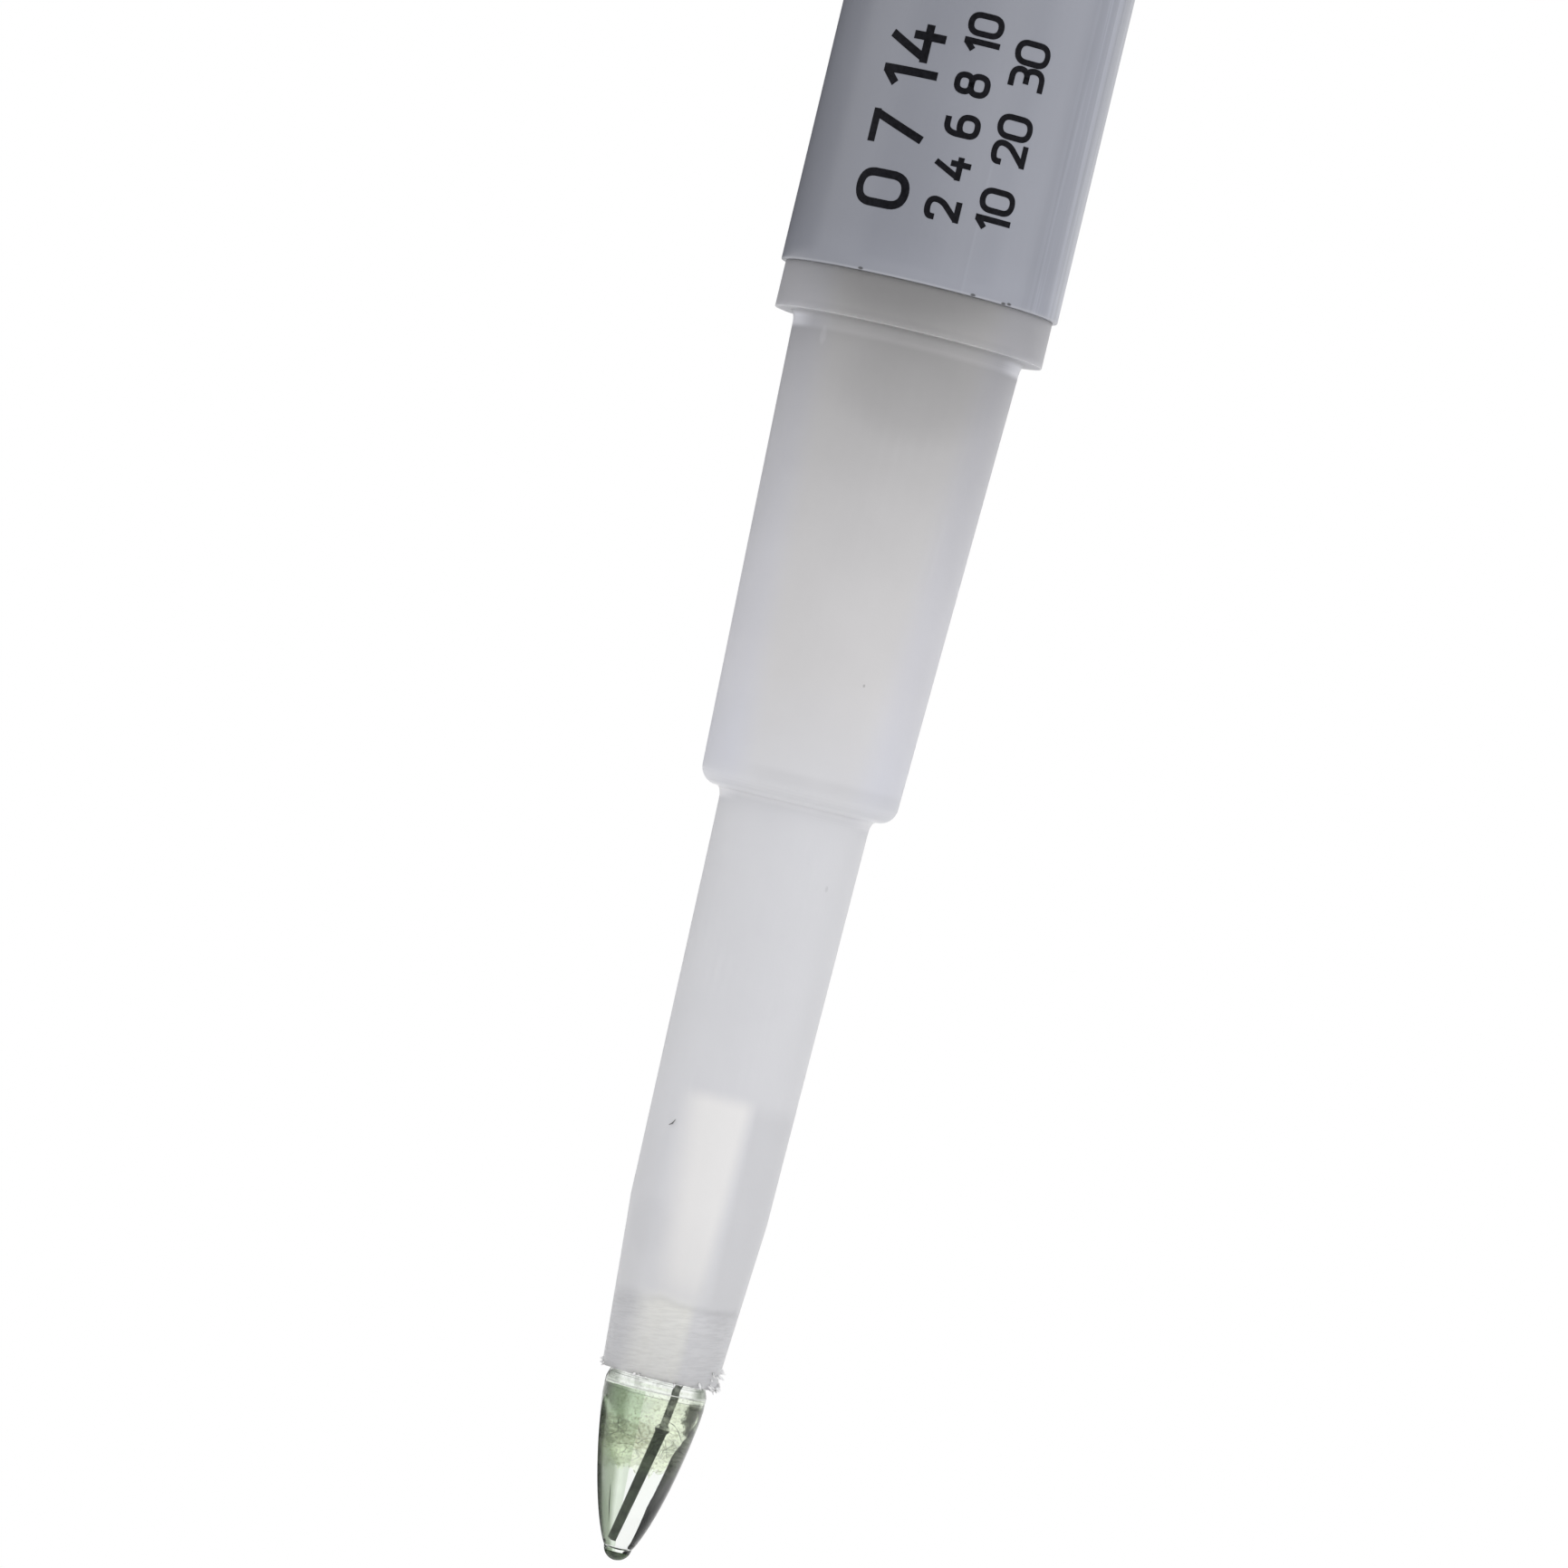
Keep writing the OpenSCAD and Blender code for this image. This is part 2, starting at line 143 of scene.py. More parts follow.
class GlassSizes(PropertyGroup):
    """Sizes and colours of the glass tip"""

    rim_r: length("Rim radius", width("membrane_glass"), "Widest radius of the glass")
    seam_z: length("Seam height", high("membrane_glass"), "Height of the seam above the point")
    point_r: length("Point radius", 0.85, "Radius of the round point")
    point_h: length("Solid point", low("inner_buffer"), "Height of solid glass under the cavity")
    wall: length("Wall", 0.35, "Wall of the sensing glass")
    full_below: length("Full width below", 0.4, "Stretch of full width under the seam")
    neck_r: length("Neck radius", 2.9, "Radius of the glass where it enters the plastic")
    tube_r: length("Tube radius", 2.1, "Outside radius of the stem glass in the body")
    tube_bore_r: length("Tube bore", 1.6, "Bore radius of the stem glass")
    tint: colour("Glass tint", (0.66, 0.88, 0.60), "Colour that light takes in thick glass")
    filling: colour("Filling tint", (0.80, 0.92, 0.74), "Colour that light takes in the filling")
    seam_lift: length("Seam lift", 0.32, "Height of the white seam line over the seam")
    crust: colour("Crust", (0.96, 0.985, 0.92), "Chalky parts of the dried crust")
    film: colour("Film", (0.98, 0.994, 0.948), "Light that passes one face of the thin crust")
    algae: colour("Green film", (0.93, 0.96, 0.915), "Light that passes one face of green crust")
    scale: colour("Brown scale", (0.70, 0.71, 0.63), "Light that passes one face of brown scale")
    crust_wall: length("Crust thickness", 0.12, "Greatest thickness of the crust")
    crust_low_z: length("Crust height", 5.75, "Height of the crust's lower edge at the front")


class BodySizes(PropertyGroup):
    """Sizes and colours of the plastic body"""

    plastic: colour("Plastic", (0.725, 0.73, 0.76), "Milky white of the plastic over the gel")
    window: colour("Window", (0.868, 0.861, 0.866), "Where light comes through the glass tube")
    # Painted light: the glass tube's light, where it shows through the rough end at the front.
    nose_light: colour("Nose", (0.91, 0.91, 0.865), "Rough end of the plastic")
    shadow: colour("Shadow", (0.42, 0.417, 0.424), "Plastic over the dark resin inside")
    milkiness: length("Milkiness", 1.2, "Distance that light travels in the plastic")
    fray_count: IntProperty(name="Burrs", default=64, min=0, description="Burrs at the cut end")
    left_count: IntProperty(name="Left burrs", default=10, min=0, description="More at the left")


class SleeveSizes(PropertyGroup):
    """Sizes and colours of the shrink sleeve and its figures"""

    inset: length("Inset", 0.012, "Depth of the dressed sleeve under the solid one")
    curl: angle("Curl", 32.0, "Angle that the sleeve curls over the shoulder")
    flute: length("Flutes", 0.05, "Depth of the creases that shrinking left")
    # Painted shade: the sleeve's white film is given the grey that it shows in shade.
    film: colour("Film", (0.29, 0.30, 0.345), "Colour of the sleeve's film")
    ink: colour("Ink", (0.006, 0.006, 0.008), "Colour of the figures")
    large: StringProperty(name="Large row", default="0 7 14", description="Figures of row one")
    middle: StringProperty(name="Middle row", default="2 4 6 8 10", description="Row two")
    small: StringProperty(name="Small row", default="10 20 30", description="Row three")


class StageSizes(PropertyGroup):
    """Places of the camera, lights, cards and floor"""

    across: length("Camera across", 0.99, "Distance of the camera to the left of the axis")
    camera_z: length("Camera height", 47.38, "Height of the camera over the probe's point")
    away: length("Camera distance", 486.5, "Distance of the camera from the axis")
    roll: angle("Camera roll", 13.5, "Roll of the camera about its own axis")
    focal: FloatProperty(name="Focal length", default=187.2, min=1.0, description="Lens, in mm")
    floor_drop: length("Floor drop", 40.0, "Distance of the floor under the point")
    room: share("Room light", 0.84, "Strength of the white room on the object")
    key: FloatProperty(name="Key light", default=1.5, min=0.0, description="Power of the key light")


def in_mm(group):
    """A copy of a group with its lengths in millimetres."""
    copy = type("Sizes", (), {})()
    for prop in group.bl_rna.properties:
        value = getattr(group, prop.identifier)
        if getattr(prop, "unit", "") == "LENGTH":
            value = value / MM
        setattr(copy, prop.identifier, value)
    return copy


class Socket:
    """An output of a shader node, which takes part in plain arithmetic."""

    def __init__(self, tree, source=None):
        self.tree = tree
        self.source = source

    def node(self, kind, settings=None, values=None, out=0):
        """Adds a node of a kind: its settings first, then the values or links of its inputs."""
        new = self.tree.nodes.new("ShaderNode" + kind)
        for name, value in (settings or {}).items():
            if name == "stops":
                ramp = new.color_ramp.elements
                while len(ramp) < len(value):
                    ramp.new(1.0)
                for element, (place, shade) in zip(ramp, value):
                    element.position = place
                    element.color = (*shade, 1.0)
            else:
                setattr(new, name, value)
        for name, value in (values or {}).items():
            if isinstance(value, Socket):
                self.tree.links.new(value.source, new.inputs[name])
            else:
                new.inputs[name].default_value = value
        return Socket(self.tree, new.outputs[out])

    def math(self, operation, other=0.0, reflected=False):
        first, second = (other, self) if reflected else (self, other)
        return self.node("Math", {"operation": operation}, {0: first, 1: second})

    def vector(self, operation, other=(0, 0, 0), out=0):
        return self.node("VectorMath", {"operation": operation}, {0: self, 1: other}, out)

    def __add__(self, other):
        return self.math("ADD", other)

    __radd__ = __add__

    def __sub__(self, other):
        return self.math("SUBTRACT", other)

    def __rsub__(self, other):
        return self.math("SUBTRACT", other, True)

    def __mul__(self, other):
        return self.math("MULTIPLY", other)

    __rmul__ = __mul__

    def __truediv__(self, other):
        return self.math("DIVIDE", other)

    def __rtruediv__(self, other):
        return self.math("DIVIDE", other, True)

    def __abs__(self):
        return self.math("ABSOLUTE")

    def most(self, other):
        return self.math("MAXIMUM", other)

    def least(self, other):
        return self.math("MINIMUM", other)

    def above(self, edge, soft):
        """0 below an edge and 1 above it, with a soft step between."""
        return self.node("MapRange", {"interpolation_type": "SMOOTHSTEP"},
                         {"Value": self, "From Min": edge - soft, "From Max": edge + soft})

    def below(self, edge, soft):
        return 1 - self.above(edge, soft)

    def between(self, first, last, soft):
        return self.above(first, soft) * self.below(last, soft)

    def blend(self, start, end):
        """Goes from one colour to another as this value goes from 0 to 1."""
        first, second = (s if isinstance(s, Socket) else (*s, 1.0) for s in (start, end))
        return self.node("Mix", {"data_type": "RGBA"}, {0: self, 6: first, 7: second}, out=2)

    def tinted(self, shade):
        """A colour times this value."""
        first = shade if isinstance(shade, Socket) else tuple(shade)
        return self.node("VectorMath", {"operation": "SCALE"}, {0: first, "Scale": self})


class Finish:
    """A material under way: its shader, and the place on the object in millimetres."""

    def __init__(self, name):
        self.material = bpy.data.materials.new(name)
        self.material.use_nodes = True
        self.tree = self.material.node_tree
        self.shader = self.tree.nodes["Principled BSDF"]
        self.output = self.tree.nodes["Material Output"]
        self.own = Socket(self.tree, self.shader.outputs[0])
        self.start = Socket(self.tree)
        raw = self.start.node("TexCoord", out=3)
        self.place = self.start.node("VectorMath", {"operation": "SCALE"},
                                     {0: raw, "Scale": 1 / MM})
        self.x, self.y, self.z = (
            self.start.node("SeparateXYZ", None, {0: self.place}, out=i) for i in range(3)
        )

    def set(self, **inputs):
        """Sets or links the shader's own sockets, named with underscores for spaces."""
        for name, value in inputs.items():
            socket = self.shader.inputs[name.replace("_", " ")]
            if isinstance(value, Socket):
                self.tree.links.new(value.source, socket)
            elif socket.type == "RGBA":
                socket.default_value = (*value, 1.0)
            else:
                socket.default_value = value
        return self

    def stretched(self, *scales):
        """The place, with a scale for each direction."""
        return self.place.vector("MULTIPLY", scales)

    def from_axis(self):
        """Distance from the probe's axis."""
        return self.stretched(1, 1, 0).vector("LENGTH", out=1)

    def grain(self, scale, detail=3.0, place=None, rough=0.55):
        """Noise about 0.5, with its scale in waves per millimetre."""
        return self.start.node("TexNoise", None, {
            "Vector": place or self.place, "Scale": scale, "Detail": detail, "Roughness": rough})

    def crackle(self, scale):
        """Distance to the nearest line of a net of cracks."""
        return self.start.node("TexVoronoi", {"feature": "DISTANCE_TO_EDGE"},
                               {"Vector": self.place, "Scale": scale})

    def spot(self, at, radius, stretch=(1, 1, 1)):
        """A soft spot about a place, its radius in millimetres across the stretched place."""
        goal = tuple(a * s for a, s in zip(at, stretch))
        away = self.stretched(*stretch).vector("DISTANCE", goal, out=1)
        return away.below(radius, radius * 0.4)

    def bump(self, height, depth):
        """Raises the surface by a height of 0 to 1 times a depth in millimetres."""
        return self.set(Normal=self.start.node("Bump", None, {"Height": height,
                                                              "Distance": depth * MM}))

    def absorb(self, tint, per_mm):
        """Colours the light on its way through the inside."""
        return self.use(self.start.node("VolumeAbsorption", None, {
            "Color": (*tint, 1.0), "Density": per_mm / MM}), "Volume")

    def filter_of(self, tint):
        """A shader that only tints the light that passes it."""
        return self.start.node("BsdfTransparent", None, {"Color": (*tint, 1.0)})

    def mixed(self, factor, first, second):
        """Goes from one shader to another as the factor goes from 0 to 1."""
        return self.start.node("MixShader", None, {0: factor, 1: first, 2: second})

    def use(self, shader, part="Surface"):
        """Makes a shader the material's surface or its volume."""
        self.tree.links.new(shader.source, self.output.inputs[part])
        return self


def mottled(name, dark, light, scale, rough, depth=0.01, **inputs):
    """A finish of two near shades with a fine grain."""
    finish = Finish(name)
    patches = finish.grain(scale).above(0.5, 0.25)
    finish.set(Base_Color=patches.blend(dark, light), Roughness=rough, **inputs)
    return finish.bump(finish.grain(scale * 4), depth)


def wear(finish, *nodes):
    """Gives CAD nodes a finish."""
    for name in nodes:
        for place in NODES[name].material_slots:
            place.material = finish.material


def slack(node, gap=0.02):
    """Draws a CAD node's surface in by a hair, so that it shares no face with its seat."""
    move = NODES[node].modifiers.new("slack", "DISPLACE")
    move.strength = -gap * MM
    move.mid_level = 0.0


def new_object(name, points, faces, finish):
    """An object in one finish, from points in millimetres."""
    mesh = bpy.data.meshes.new(name)
    mesh.from_pydata([Vector(p) * MM for p in points], [], faces)
    mesh.materials.append(finish.material)
    made = bpy.data.objects.new(name, mesh)
    bpy.context.scene.collection.objects.link(made)
    return made


def reshape(piece, change):
    """Changes the mesh of a piece by a function that takes its bmesh."""
    build = bmesh.new()
    build.from_mesh(piece.data)
    change(build)
    build.to_mesh(piece.data)
    build.free()


def smoothed(build):
    bmesh.ops.recalc_face_normals(build, faces=build.faces)
    for face in build.faces:
        face.smooth = True


def make_piece(name, points, faces, finish, slot, *replaced):
    """Makes a smooth piece from points in millimetres, and seats it on the probe."""
    piece = new_object(name, points, faces, finish)
    reshape(piece, smoothed)
    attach(piece, "root")
    if replaced:
        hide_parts(*replaced)
    return piece


def crease(piece):
    """Keeps the corners of a piece sharp."""
    piece.data.set_sharp_from_angle(angle=radians(SHARP))


def on_turn(turn, radius, height):
    """A point at an angle from the front towards the right, in radians."""
    return (radius * sin(turn), -radius * cos(turn), height)


def turned(outline, segments, shift=None):
    """Points and faces of an outline of (radius, height) pairs turned about the axis.

    shift(turn, radius, height) gives back a moved radius and height."""
    points = []
    rings = []
    for radius, height in outline:
        if radius < TINY:
            rings.append([len(points)] * segments)
            points.append((0.0, 0.0, height))
            continue
        rings.append(list(range(len(points), len(points) + segments)))
        for i in range(segments):
            turn = 2 * pi * i / segments
            moved = shift(turn, radius, height) if shift else (radius, height)
            points.append(on_turn(turn, *moved))
    closed = outline[0][0] > TINY and outline[-1][0] > TINY
    faces = []
    for lower, upper in zip(rings, rings[1:] + rings[:1] if closed else rings[1:]):
        for i in range(segments):
            j = (i + 1) % segments
            corners = [lower[i], lower[j], upper[j], upper[i]]
            faces.append(tuple(dict.fromkeys(corners)))
    return points, faces


def tube(path, radii, sides=6):
    """Points and faces of a round tube along a path, closed at both ends."""
    points = []
    path = [Vector(p) for p in path]
    for i, centre in enumerate(path):
        along = (path[min(i + 1, len(path) - 1)] - path[max(i - 1, 0)]).normalized()
        across = along.orthogonal().normalized()
        for k in range(sides):
            turn = Quaternion(along, 2 * pi * k / sides)
            points.append(centre + turn @ across * radii[i])
    faces = [(i * sides + k, i * sides + (k + 1) % sides,
              (i + 1) * sides + (k + 1) % sides, (i + 1) * sides + k)
             for i in range(len(path) - 1) for k in range(sides)]
    faces += [tuple(range(sides)), tuple(range((len(path) - 1) * sides, len(path) * sides))]
    return points, faces


def gathered(parts):
    """Many lists of points and faces as one."""
    points, faces = [], []
    for more, corners in parts:
        base = len(points)
        points += more
        faces += [tuple(c + base for c in face) for face in corners]
    return points, faces


def filled(line, step, closed=False):
    """A line with points added so that none lie further apart than a step."""
    full = []
    for a, b in zip(line, line[1:] + line[:1] if closed else line[1:]):
        if dist(a, b) >= TINY:
            count = ceil(dist(a, b) / step)
            full += [tuple(p + (q - p) * i / count for p, q in zip(a, b)) for i in range(count)]
    return full if closed else full + [line[-1]]


def arc(centre_r, centre_z, across, up, first, last, count=10):
    """Points of an elliptical arc, its angles in degrees."""
    turns = [radians(first + (last - first) * i / count) for i in range(count + 1)]
    return [(centre_r + across * cos(t), centre_z + up * sin(t)) for t in turns]


def drawn_in(r0, z0, r1, z1, count=24):
    """A wall that eases from one radius to another, as drawn glass does."""
    steps = [i / count for i in range(count + 1)]
    return [(r0 + (r1 - r0) * (1 - cos(pi * t)) / 2, z0 + (z1 - z0) * t) for t in steps]


def cone_radius(glass, z):
    """Outside radius of the glass cone at a height."""
    point = sqrt(glass.point_r ** 2 - (glass.point_r - z) ** 2) if z < glass.point_r else 0
    full_z = glass.seam_z - glass.full_below
    taper = glass.rim_r * (1 - (1 - min(1, z / full_z)) ** CONE_P) ** CONE_Q
    return max(point, taper)


def cone_outside(glass, count=72):
    heights = [glass.seam_z * (i / count) ** 2 for i in range(count + 1)]
    return [(cone_radius(glass, z), z) for z in heights]


def cone_inside(glass, grow=0.0, count=60):
    """Wall of the cavity from its round floor up to the seam, moved outward by a little."""
    floor_z = glass.point_h + FLOOR_H
    floor_r = cone_radius(glass, floor_z) - glass.wall + grow
    wall = arc(0, floor_z, floor_r, FLOOR_H + grow, -90, 0, 14)
    wall[0] = (0.0, glass.point_h - grow)
    heights = [floor_z + (glass.seam_z - floor_z) * i / count for i in range(1, count + 1)]
    return wall + [(cone_radius(glass, z) - glass.wall + grow, z) for z in heights]


def tube_inside(glass, top, grow=0.0):
    wall = drawn_in(glass.rim_r - glass.wall + grow, glass.seam_z,
                    glass.tube_bore_r + grow, DRAW_HIGH_Z - DRAW_LAG)
    return wall[1:] + [(glass.tube_bore_r + grow, top)]


def wall_radius(glass, z):
    """Radius of the glass's inner wall at a height, in the cone and the neck."""
    if z <= glass.seam_z:
        return cone_radius(glass, z) - glass.wall
    t = (z - glass.seam_z) / (DRAW_HIGH_Z - DRAW_LAG - glass.seam_z)
    ease = (1 - cos(pi * min(1, t))) / 2
    return glass.rim_r - glass.wall + (glass.tube_bore_r - glass.rim_r + glass.wall) * ease


def clear(name, tint, per_mm, ior, ripple=0.004):
    """Clear stuff that takes its colour from its thickness."""
    finish = Finish(name)
    finish.set(Base_Color=(1, 1, 1), Transmission_Weight=1.0, Roughness=0.0, IOR=ior,
               Specular_IOR_Level=0.2, Specular_Tint=(0.35, 0.35, 0.35))
    if ripple:
        finish.bump(finish.grain(0.6, 2.0), ripple)
    return finish.absorb(tint, per_mm)


def fused(piece, height):
    """Opens the end of a glass wall where it melts into the next, which has the same edge."""

    def opened(build):
        ends = [f for f in build.faces
                if all(abs(v.co.z - height * MM) < TINY for v in f.verts)]
        bmesh.ops.delete(build, geom=ends, context="FACES_ONLY")

    reshape(piece, opened)


class PROBE_OT_glass(Operator):
    """Blow the glass cone, its stem glass and the filling inside them"""

    bl_idname = "probe.glass"
    bl_label = "Glass"

    def execute(self, context):
        glass = in_mm(context.scene.probe_glass)
        clear_glass = clear("clear_glass", glass.tint, 0.12, 1.5)
        cone = cone_outside(glass) + cone_inside(glass)[::-1]
        piece = make_piece("cone_glass", *turned(cone, 128), clear_glass, "tip_glass",
                           "membrane_glass")
        fused(piece, glass.seam_z)
        top = high("glass_stem")
        gap = 0.004
        outer = [(glass.rim_r, glass.seam_z)]
        outer += drawn_in(glass.rim_r, glass.seam_z + RIM_BAND, glass.neck_r, NOSE_Z, 12)
        outer += drawn_in(glass.neck_r, DRAW_LOW_Z, glass.tube_r, DRAW_HIGH_Z)
        outer += [(glass.tube_r, top)]
        inner = [(glass.rim_r - glass.wall, glass.seam_z)] + tube_inside(glass, top)
        stem = turned(outer + inner[::-1], 128)
        piece = make_piece("tube_glass", *stem, clear_glass, "stem_glass", "glass_stem")
        fused(piece, glass.seam_z)
        liquid = clear("filling", glass.filling, 0.02, 1.34, 0.0)
        level = high("inner_buffer")
        body = cone_inside(glass, gap) + tube_inside(glass, level, gap) + [(0.0, level - 0.2)]
        make_piece("filling", *turned(body, 96), liquid, "buffer", "inner_buffer")
        return {"FINISHED"}


class PROBE_OT_crust(Operator):
    """Grow the dried crust on the glass, with the seam, the dark point, a hairline crack and a
    painted dark line of the rod's refracted image
    """

    bl_idname = "probe.crust"
    bl_label = "Crust"

    def execute(self, context):
        glass = in_mm(context.scene.probe_glass)
        up, on_glass, loose = 80, 1, 2

        def grown(turn, side, row):
            """A row of the crust's side on the glass, or of its loose side."""
            around = Vector((sin(turn), cos(turn), 0))
            ragged = noise.fractal(around * 4.3, 0.8, 2, 5)
            foot = glass.crust_low_z + 0.9 * abs(sin(turn)) ** 3 + 0.6 * ragged
            z = foot + (NOSE_Z + 0.2 - foot) * row / up
            wall = wall_radius(glass, z) - 0.012
            if side == on_glass:
                return wall, z
            lump = 0.5 + 0.5 * noise.fractal(Vector(on_turn(turn, wall, z)) * 1.6, 1, 2, 4)
            edge = min(1, row / 4, (up - row) / 4)
            return wall - (0.01 + glass.crust_wall * max(0, lump) * edge), z

        rows = [(on_glass, i) for i in range(up + 1)] + [(loose, i) for i in range(up, -1, -1)]
        make_piece("crust", *turned(rows, 180, grown), self.crust(glass), "tip_glass")
        seam_r = glass.rim_r - 0.02
        ring = turned(arc(seam_r, glass.seam_z + glass.seam_lift, 0.028, 0.035, 0, 330, 11), 128,
                      lambda turn, r, z: (r, z + 0.05 * sin(turn)))
        white = mottled("seam", (0.72, 0.76, 0.70), (0.92, 0.94, 0.9), 3.0, 0.3)
        make_piece("seam", *ring, white, "tip_glass")
        core = [(0.0, 0.04)]
        core += [(cone_radius(glass, z) - 0.05, z) for z in (0.08, 0.14, 0.22, 0.32, 0.42, 0.5)]
        core += [(cone_radius(glass, 0.5) - 0.12, 0.57), (0.0, 0.6)]
        bottle = mottled("dark_point", (0.02, 0.035, 0.015), (0.10, 0.17, 0.07), 1.6, 0.15)
        make_piece("point_core", *turned(core, 64), bottle, "tip_glass")
        # Two thin dark lines on the inner wall: the first is painted, where the rod's refracted
        # image shows in the glass; the second is a crack.
        marks = [tube([on_wall(glass, x, z, 0.03) for x, z in path], radii) for path, radii in (
            (((-1.2, 4.5), (-1.02, 3.4), (-0.8, 2.3)), (0.012, 0.028, 0.008)),
            (((1.2, 8.95), (1.5, 8.82), (1.75, 8.55), (1.95, 8.2), (2.05, 7.95)),
             (0.012, 0.02, 0.02, 0.018, 0.008)),
        )]
        dark = mottled("hairline", (0.02, 0.03, 0.02), (0.05, 0.07, 0.04), 5.0, 0.5)
        make_piece("hairlines", *gathered(marks), dark, "tip_glass")
        return {"FINISHED"}

    def crust(self, glass):
        """Pale green scale that light shines through, crackled, and thin at the front, with painted
        shade at the sides above the seam.
        """
        finish = Finish("crust")
        x, z, mixed, filter_of = finish.x, finish.z, finish.mixed, finish.filter_of
        clouds = finish.grain(0.9, 5.0)
        fine = finish.grain(2.6, 6.0, rough=0.65)
        grit = finish.grain(5.5, 4.0, rough=0.7)
        back = finish.y.above(0.3, 0.5)
        neck = (z + 0.6 * back).above(glass.seam_z + glass.seam_lift, 0.1)
        right = x.above(1.2, 0.4) * z.above(6.8, 0.6)
        green = x.below(0.0, 0.8) * z.above(7.9, 0.9) + clouds.above(0.60, 0.06) * 0.5
        mid = z.between(7.0, 8.6, 0.4) * x.below(0.4, 0.9)
        specks = mid * (0.5 * fine.above(0.50, 0.05) + grit.above(0.52, 0.025))
        specks = (specks + grit.above(0.59, 0.035)).least(1.0)
        lines = finish.crackle(1.3).below(0.014, 0.012) * clouds.above(0.50, 0.05)
        lines = lines * x.between(-1.8, 1.9, 0.4) * z.between(6.4, 8.6, 0.4)
        far_right = (x + 1.4 * (fine - 0.5)).above(2.0, 0.15) * z.between(8.1, 10.2, 0.3)
        painted_edge_shade = 0.6 * x.below(-2.1, 0.25) + x.above(2.2, 0.25)
        dark = (0.5 * lines + 0.8 * far_right * clouds.above(0.46, 0.05)).least(1.0)
        finish.set(Base_Color=glass.crust, Roughness=0.6)
        finish.bump(fine, 0.03)
        glow = finish.start.node("BsdfTranslucent", None, {"Color": (*glass.crust, 1.0)})
        chalk = mixed(0.5, finish.own, glow)
        film = mixed(green.least(1.0), filter_of(glass.film), filter_of(glass.algae))
        cover = back * (0.02 + 0.10 * clouds.above(0.48, 0.06) + 0.08 * right)
        cover = cover + (1 - back) * 0.05 * fine.above(0.58, 0.06)
        crust = mixed(cover, film, chalk)
        crust = mixed(0.6 * specks, crust, filter_of(glass.scale))
        crust = mixed(dark, crust, filter_of((0.16, 0.17, 0.14)))
        # Painted shade: above the seam, a grey filter darkens the glass's left and right sides.
        shoulder = mixed(painted_edge_shade, filter_of((1, 1, 1)), filter_of((0.63, 0.65, 0.62)))
        flecks = mixed(0.22 * fine.above(0.56, 0.06) * x.below(0.4, 1.0), shoulder, chalk)
        return finish.use(mixed(neck, crust, flecks))


def on_wall(glass, x, z, inward):
    """A point of the front inner wall at a distance to the right."""
    radius = wall_radius(glass, z) - inward
    return on_turn(asin(max(-1, min(1, x / radius))), radius, z)


class PROBE_OT_wires(Operator):
    """Finish the sensing rod, its bead and the wires"""

    bl_idname = "probe.wires"
    bl_label = "Wires"

    def execute(self, context):
        coat = mottled("chloride_coat", (0.05, 0.066, 0.045), (0.14, 0.175, 0.125), 1.4, 0.6, 0.02,
                       Specular_IOR_Level=0.2)
        wear(coat, "sensing_rod", "reference_rod")
        silver = mottled("drawn_silver", (0.01, 0.014, 0.01), (0.9, 0.93, 0.88), 2.2, 0.5, 0.02)
        wear(silver, "sensing_wire", "reference_wire")
        wear(clear("bead_glass", (0.6, 0.8, 0.55), 0.1, 1.43), "joint_bead")
        return {"FINISHED"}


